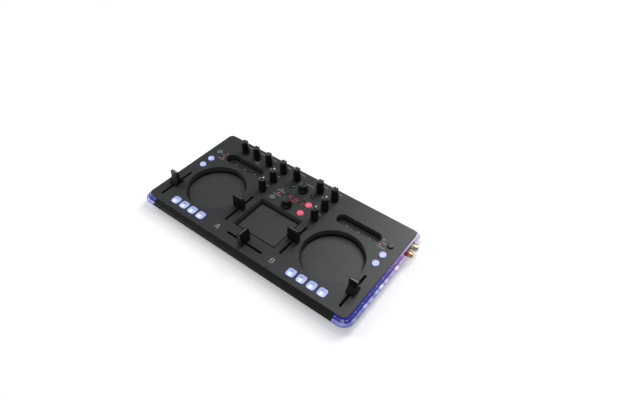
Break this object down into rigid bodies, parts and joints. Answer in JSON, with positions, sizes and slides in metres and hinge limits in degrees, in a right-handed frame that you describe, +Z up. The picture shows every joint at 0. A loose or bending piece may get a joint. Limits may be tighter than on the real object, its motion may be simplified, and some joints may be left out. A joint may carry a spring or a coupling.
{
  "type": "dj controller",
  "caption": "Two-deck touch DJ controller: slim case with touch wells, tall knobs, faders, lit pads, side light guides and audio sockets.",
  "frame": {"origin": "on the table under the middle of the case, centred left to right and front to back on the body; the audio sockets stand out further on the right", "axes": "+X to the player's right, +Y away from the player to the back edge, +Z up"},
  "size_m": [0.3873, 0.192, 0.0459],
  "materials": {
    "case_top": "satin charcoal moulded plastic",
    "case_bottom": "fine-grained black moulded plastic",
    "guide": "translucent plastic lit from inside, blue at the front to pale pink at the back",
    "touch_surface": "smooth dark grey touch film",
    "window": "smoked tinted window",
    "display": "red lit digit bars",
    "board": "green lacquered circuit board",
    "component_metal": "plain pressed steel cans",
    "switch_body": "black switch bodies",
    "lamp": "clear red lamp lenses",
    "gold": "gold-plated barrels",
    "jack_body": "black socket bodies",
    "usb_shell": "plated steel shell",
    "screw": "zinc-plated steel",
    "foot": "soft black rubber",
    "knob": "black soft-touch knobs",
    "fader_cap": "black moulded caps",
    "pad_lit": "milky caps lit pale blue",
    "round_lit": "milky caps lit pale blue",
    "round_red": "milky caps lit red",
    "round_grey": "unlit milky grey caps",
    "load_black": "polished black domes"
  },
  "bodies": {
    "chassis": {"top_case": "case_top", "bottom_case": "case_bottom", "light_guide_left": "guide", "light_guide_right": "guide", "touch_wheel_a": "touch_surface", "touch_wheel_b": "touch_surface", "touch_strip_a": "touch_surface", "touch_strip_b": "touch_surface", "touch_pad": "touch_surface", "display_window": "window", "display_digits": "display", "main_board": "board", "rotary_pots": "component_metal", "encoders": "component_metal", "slide_pots": "component_metal", "button_switches": "switch_body", "indicator_lamps": "lamp", "rca_sockets": "gold", "phones_jack": "jack_body", "mic_jack": "jack_body", "usb_socket": "usb_shell", "case_screws": "screw", "rubber_feet": "foot"},
    "effect_knob_1": {"effect_knob_1": "knob"},
    "effect_knob_2": {"effect_knob_2": "knob"},
    "effect_knob_3": {"effect_knob_3": "knob"},
    "gain_knob_a": {"gain_knob_a": "knob"},
    "high_knob_a": {"high_knob_a": "knob"},
    "mid_knob_a": {"mid_knob_a": "knob"},
    "low_knob_a": {"low_knob_a": "knob"},
    "gain_knob_b": {"gain_knob_b": "knob"},
    "high_knob_b": {"high_knob_b": "knob"},
    "mid_knob_b": {"mid_knob_b": "knob"},
    "low_knob_b": {"low_knob_b": "knob"},
    "browse_knob": {"browse_knob": "knob"},
    "program_knob": {"program_knob": "knob"},
    "level_cap_a": {"level_cap_a": "fader_cap"},
    "level_cap_b": {"level_cap_b": "fader_cap"},
    "cross_cap": {"cross_cap": "fader_cap"},
    "pitch_cap_a": {"pitch_cap_a": "fader_cap"},
    "pitch_cap_b": {"pitch_cap_b": "fader_cap"},
    "pad_a_1": {"pad_a_1": "pad_lit"},
    "pad_a_2": {"pad_a_2": "pad_lit"},
    "pad_a_3": {"pad_a_3": "pad_lit"},
    "pad_a_4": {"pad_a_4": "pad_lit"},
    "pad_b_1": {"pad_b_1": "pad_lit"},
    "pad_b_2": {"pad_b_2": "pad_lit"},
    "pad_b_3": {"pad_b_3": "pad_lit"},
    "pad_b_4": {"pad_b_4": "pad_lit"},
    "cue_button_a": {"cue_button_a": "round_lit"},
    "sync_button_a": {"sync_button_a": "round_lit"},
    "shift_button_a": {"shift_button_a": "round_grey"},
    "cue_button_b": {"cue_button_b": "round_lit"},
    "sync_button_b": {"sync_button_b": "round_lit"},
    "shift_button_b": {"shift_button_b": "round_grey"},
    "loop_button": {"loop_button": "round_red"},
    "hold_button": {"hold_button": "round_red"},
    "tap_button": {"tap_button": "round_grey"},
    "load_button_a": {"load_button_a": "load_black"},
    "load_button_b": {"load_button_b": "load_black"}
  },
  "joints": [
    {"name": "effect_knob_1_turn", "type": "hinge", "parent": "chassis", "child": "effect_knob_1", "pos_m": [-0.132, 0.0741, 0.024], "axis": [0, 0, 1], "range_deg": [-150, 150]},
    {"name": "effect_knob_2_turn", "type": "hinge", "parent": "chassis", "child": "effect_knob_2", "pos_m": [-0.1067, 0.0741, 0.024], "axis": [0, 0, 1], "range_deg": [-150, 150]},
    {"name": "effect_knob_3_turn", "type": "hinge", "parent": "chassis", "child": "effect_knob_3", "pos_m": [-0.0809, 0.0741, 0.024], "axis": [0, 0, 1], "range_deg": [-150, 150]},
    {"name": "gain_knob_a_turn", "type": "hinge", "parent": "chassis", "child": "gain_knob_a", "pos_m": [-0.0228, 0.0741, 0.024], "axis": [0, 0, 1], "range_deg": [-150, 150]},
    {"name": "high_knob_a_turn", "type": "hinge", "parent": "chassis", "child": "high_knob_a", "pos_m": [-0.0502, 0.0741, 0.024], "axis": [0, 0, 1], "range_deg": [-150, 150]},
    {"name": "mid_knob_a_turn", "type": "hinge", "parent": "chassis", "child": "mid_knob_a", "pos_m": [-0.0502, 0.0487, 0.024], "axis": [0, 0, 1], "range_deg": [-150, 150]},
    {"name": "low_knob_a_turn", "type": "hinge", "parent": "chassis", "child": "low_knob_a", "pos_m": [-0.0502, 0.0233, 0.024], "axis": [0, 0, 1], "range_deg": [-150, 150]},
    {"name": "gain_knob_b_turn", "type": "hinge", "parent": "chassis", "child": "gain_knob_b", "pos_m": [0.0228, 0.0741, 0.024], "axis": [0, 0, 1], "range_deg": [-150, 150]},
    {"name": "high_knob_b_turn", "type": "hinge", "parent": "chassis", "child": "high_knob_b", "pos_m": [0.0502, 0.0741, 0.024], "axis": [0, 0, 1], "range_deg": [-150, 150]},
    {"name": "mid_knob_b_turn", "type": "hinge", "parent": "chassis", "child": "mid_knob_b", "pos_m": [0.0502, 0.0487, 0.024], "axis": [0, 0, 1], "range_deg": [-150, 150]},
    {"name": "low_knob_b_turn", "type": "hinge", "parent": "chassis", "child": "low_knob_b", "pos_m": [0.0502, 0.0233, 0.024], "axis": [0, 0, 1], "range_deg": [-150, 150]},
    {"name": "browse_knob_turn", "type": "hinge", "parent": "chassis", "child": "browse_knob", "pos_m": [0, 0.0605, 0.024], "axis": [0, 0, 1], "continuous": true},
    {"name": "program_knob_turn", "type": "hinge", "parent": "chassis", "child": "program_knob", "pos_m": [0, 0.0205, 0.024], "axis": [0, 0, 1], "continuous": true},
    {"name": "level_cap_a_slide", "type": "slide", "parent": "chassis", "child": "level_cap_a", "axis": [0, 1, 0], "range_m": [-0.0269, 0.0269]},
    {"name": "level_cap_b_slide", "type": "slide", "parent": "chassis", "child": "level_cap_b", "axis": [0, 1, 0], "range_m": [-0.0269, 0.0269]},
    {"name": "cross_cap_slide", "type": "slide", "parent": "chassis", "child": "cross_cap", "axis": [1, 0, 0], "range_m": [-0.0287, 0.0287]},
    {"name": "pitch_cap_a_slide", "type": "slide", "parent": "chassis", "child": "pitch_cap_a", "axis": [0, 1, 0], "range_m": [-0.0269, 0.0269]},
    {"name": "pitch_cap_b_slide", "type": "slide", "parent": "chassis", "child": "pitch_cap_b", "axis": [0, 1, 0], "range_m": [-0.0269, 0.0269]},
    {"name": "pad_a_1_press", "type": "slide", "parent": "chassis", "child": "pad_a_1", "axis": [0, 0, 1], "range_m": [-0.0004, 0], "stiffness_N_per_m": 400, "springref_m": 0.0006},
    {"name": "pad_a_2_press", "type": "slide", "parent": "chassis", "child": "pad_a_2", "axis": [0, 0, 1], "range_m": [-0.0004, 0], "stiffness_N_per_m": 400, "springref_m": 0.0006},
    {"name": "pad_a_3_press", "type": "slide", "parent": "chassis", "child": "pad_a_3", "axis": [0, 0, 1], "range_m": [-0.0004, 0], "stiffness_N_per_m": 400, "springref_m": 0.0006},
    {"name": "pad_a_4_press", "type": "slide", "parent": "chassis", "child": "pad_a_4", "axis": [0, 0, 1], "range_m": [-0.0004, 0], "stiffness_N_per_m": 400, "springref_m": 0.0006},
    {"name": "pad_b_1_press", "type": "slide", "parent": "chassis", "child": "pad_b_1", "axis": [0, 0, 1], "range_m": [-0.0004, 0], "stiffness_N_per_m": 400, "springref_m": 0.0006},
    {"name": "pad_b_2_press", "type": "slide", "parent": "chassis", "child": "pad_b_2", "axis": [0, 0, 1], "range_m": [-0.0004, 0], "stiffness_N_per_m": 400, "springref_m": 0.0006},
    {"name": "pad_b_3_press", "type": "slide", "parent": "chassis", "child": "pad_b_3", "axis": [0, 0, 1], "range_m": [-0.0004, 0], "stiffness_N_per_m": 400, "springref_m": 0.0006},
    {"name": "pad_b_4_press", "type": "slide", "parent": "chassis", "child": "pad_b_4", "axis": [0, 0, 1], "range_m": [-0.0004, 0], "stiffness_N_per_m": 400, "springref_m": 0.0006},
    {"name": "cue_button_a_press", "type": "slide", "parent": "chassis", "child": "cue_button_a", "axis": [0, 0, 1], "range_m": [-0.0004, 0], "stiffness_N_per_m": 400, "springref_m": 0.0006},
    {"name": "sync_button_a_press", "type": "slide", "parent": "chassis", "child": "sync_button_a", "axis": [0, 0, 1], "range_m": [-0.0004, 0], "stiffness_N_per_m": 400, "springref_m": 0.0006},
    {"name": "shift_button_a_press", "type": "slide", "parent": "chassis", "child": "shift_button_a", "axis": [0, 0, 1], "range_m": [-0.0004, 0], "stiffness_N_per_m": 400, "springref_m": 0.0006},
    {"name": "cue_button_b_press", "type": "slide", "parent": "chassis", "child": "cue_button_b", "axis": [0, 0, 1], "range_m": [-0.0004, 0], "stiffness_N_per_m": 400, "springref_m": 0.0006},
    {"name": "sync_button_b_press", "type": "slide", "parent": "chassis", "child": "sync_button_b", "axis": [0, 0, 1], "range_m": [-0.0004, 0], "stiffness_N_per_m": 400, "springref_m": 0.0006},
    {"name": "shift_button_b_press", "type": "slide", "parent": "chassis", "child": "shift_button_b", "axis": [0, 0, 1], "range_m": [-0.0004, 0], "stiffness_N_per_m": 400, "springref_m": 0.0006},
    {"name": "loop_button_press", "type": "slide", "parent": "chassis", "child": "loop_button", "axis": [0, 0, 1], "range_m": [-0.0004, 0], "stiffness_N_per_m": 400, "springref_m": 0.0006},
    {"name": "hold_button_press", "type": "slide", "parent": "chassis", "child": "hold_button", "axis": [0, 0, 1], "range_m": [-0.0004, 0], "stiffness_N_per_m": 400, "springref_m": 0.0006},
    {"name": "tap_button_press", "type": "slide", "parent": "chassis", "child": "tap_button", "axis": [0, 0, 1], "range_m": [-0.0004, 0], "stiffness_N_per_m": 400, "springref_m": 0.0006},
    {"name": "load_button_a_press", "type": "slide", "parent": "chassis", "child": "load_button_a", "axis": [0, 0, 1], "range_m": [-0.0004, 0], "stiffness_N_per_m": 400, "springref_m": 0.0006},
    {"name": "load_button_b_press", "type": "slide", "parent": "chassis", "child": "load_button_b", "axis": [0, 0, 1], "range_m": [-0.0004, 0], "stiffness_N_per_m": 400, "springref_m": 0.0006}
  ]
}
